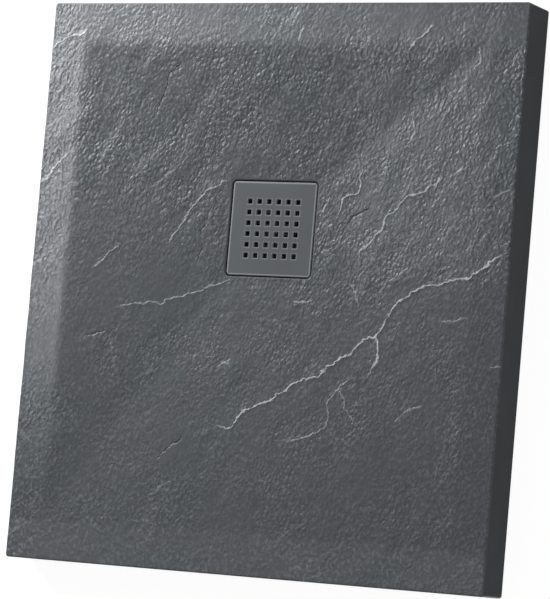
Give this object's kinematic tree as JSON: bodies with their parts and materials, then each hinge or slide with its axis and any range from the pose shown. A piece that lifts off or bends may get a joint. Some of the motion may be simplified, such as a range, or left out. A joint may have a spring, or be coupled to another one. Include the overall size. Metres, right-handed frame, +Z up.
{
  "type": "shower tray",
  "caption": "Low rectangular shower tray with a slate-textured pitched floor, a raised border and a square perforated drain cover over a bell trap.",
  "frame": {"origin": "centre of the tray's footprint, on the floor it stands on", "axes": "+Z up out of the tray's face, +X towards the side that shows in the picture, +Y towards the end nearest the waste"},
  "size_m": [0.75, 0.8, 0.065],
  "materials": {
    "slate_gelcoat": "satin slate texture",
    "cast_resin": "raw cast mineral resin",
    "cell_rubber": "matt closed-cell foam",
    "cover_coating": "matt coating in the tray's grey",
    "soft_rubber": "matt moulded rubber",
    "stainless": "turned and brushed stainless steel",
    "white_plastic": "moulded polypropylene",
    "trap_plastic": "moulded grey polypropylene"
  },
  "bodies": {
    "tray": {"gelcoat_skin": "slate_gelcoat", "resin_core": "cast_resin", "base_strips": "cell_rubber", "waste_flange": "stainless", "slip_washer": "white_plastic", "seat_gasket": "soft_rubber", "underside_gasket": "soft_rubber", "trap_bowl": "trap_plastic", "outlet_seal": "soft_rubber", "seal_retainer": "trap_plastic"},
    "cover": {"drain_cover": "cover_coating", "cover_pads": "soft_rubber"},
    "strainer": {"hair_strainer": "stainless", "strainer_knob": "stainless"},
    "bell": {"trap_bell": "white_plastic"}
  },
  "joints": [
    {"name": "cover_lift", "type": "slide", "parent": "tray", "child": "cover", "axis": [0, 0, 1], "range_m": [0, 0.2]},
    {"name": "strainer_lift", "type": "slide", "parent": "tray", "child": "strainer", "axis": [0, 0, 1], "range_m": [0, 0.12]},
    {"name": "bell_lift", "type": "slide", "parent": "tray", "child": "bell", "axis": [0, 0, 1], "range_m": [0, 0.06]}
  ],
  "couplings": [
    {"joint": "strainer_lift", "follows": "cover_lift", "ratio": 0.6},
    {"joint": "bell_lift", "follows": "cover_lift", "ratio": 0.3}
  ]
}
